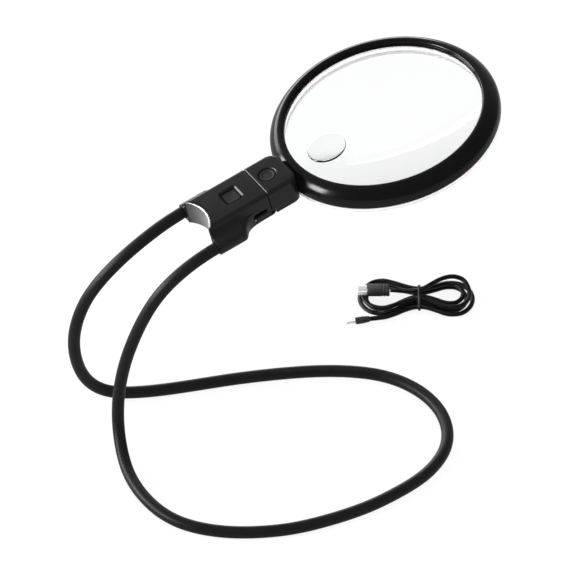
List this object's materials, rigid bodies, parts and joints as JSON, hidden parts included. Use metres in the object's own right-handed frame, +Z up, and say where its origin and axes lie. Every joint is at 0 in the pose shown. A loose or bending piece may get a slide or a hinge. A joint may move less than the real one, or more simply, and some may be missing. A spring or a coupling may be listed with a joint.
{
  "type": "neck magnifier",
  "caption": "Hands-free lit magnifier: a round lens head on a folding stem, held by a body on a bendable rubber-covered neck loop, with its charging cable.",
  "frame": {"origin": "middle of the magnifier's own box, without the loose cable, at the table on which the neck loop rests", "axes": "+X the way the lens head points, +Y the wearer's left, +Z up"},
  "size_m": [0.2534, 0.182, 0.1828],
  "materials": {
    "satin_black": "satin moulded",
    "button_black": "fine matt moulded",
    "bright_trim": "brushed",
    "steel": "plain",
    "brass": "turned",
    "cell_foil": "matt foil",
    "board_green": "lacquered",
    "led_phosphor": "clear coated",
    "white_diffuser": "satin moulded",
    "clear_lens": "polished",
    "grey_silicone": "matt",
    "tube_rubber": "satin",
    "cable_black": "satin",
    "plug_black": "moulded"
  },
  "bodies": {
    "root": {"body_housing": "satin_black", "body_bottom_cover": "satin_black", "rear_trim": "bright_trim", "body_screw_left": "steel", "body_screw_right": "steel", "battery": "cell_foil", "charge_board": "board_green", "inner_frame": "satin_black", "usb_socket": "steel", "charge_indicator": "white_diffuser", "release_spring": "steel", "hinge_pin": "steel", "neck_tube_sleeve": "tube_rubber", "neck_tube_core": "steel", "ferrule_left": "brass", "ferrule_right": "brass", "cable_hank": "cable_black", "cable_tie": "cable_black", "wide_plug": "plug_black", "wide_plug_shell": "steel", "small_plug": "plug_black", "small_plug_tip": "steel"},
    "head": {"stem_housing": "satin_black", "stem_bottom_cover": "satin_black", "stem_screw_left": "steel", "stem_screw_right": "steel", "stem_board": "board_green", "power_switch": "steel", "head_bezel": "satin_black", "main_lens": "clear_lens", "spot_lens": "clear_lens", "lens_gasket": "grey_silicone", "led_ring_board": "board_green", "diffuser_ring": "white_diffuser", "led_1": "led_phosphor", "led_2": "led_phosphor", "led_3": "led_phosphor", "led_4": "led_phosphor", "led_5": "led_phosphor", "led_6": "led_phosphor", "led_7": "led_phosphor", "led_8": "led_phosphor"},
    "power_button": {"power_button": "button_black"},
    "release_button": {"release_button": "button_black"}
  },
  "joints": [
    {"name": "head_fold", "type": "hinge", "parent": "root", "child": "head", "pos_m": [-0.01916, 0.02699, 0.13786], "axis": [0, 1, 0], "range_deg": [0, 60]},
    {"name": "power_button_press", "type": "slide", "parent": "head", "child": "power_button", "axis": [0.2419, 0, -0.9703], "range_m": [0, 0.0006], "stiffness_N_per_m": 900, "springref_m": -0.0006},
    {"name": "release_button_press", "type": "slide", "parent": "root", "child": "release_button", "axis": [0.2419, 0, -0.9703], "range_m": [0, 0.0012], "stiffness_N_per_m": 700, "springref_m": -0.0008, "deforming": ["release_spring"]}
  ]
}
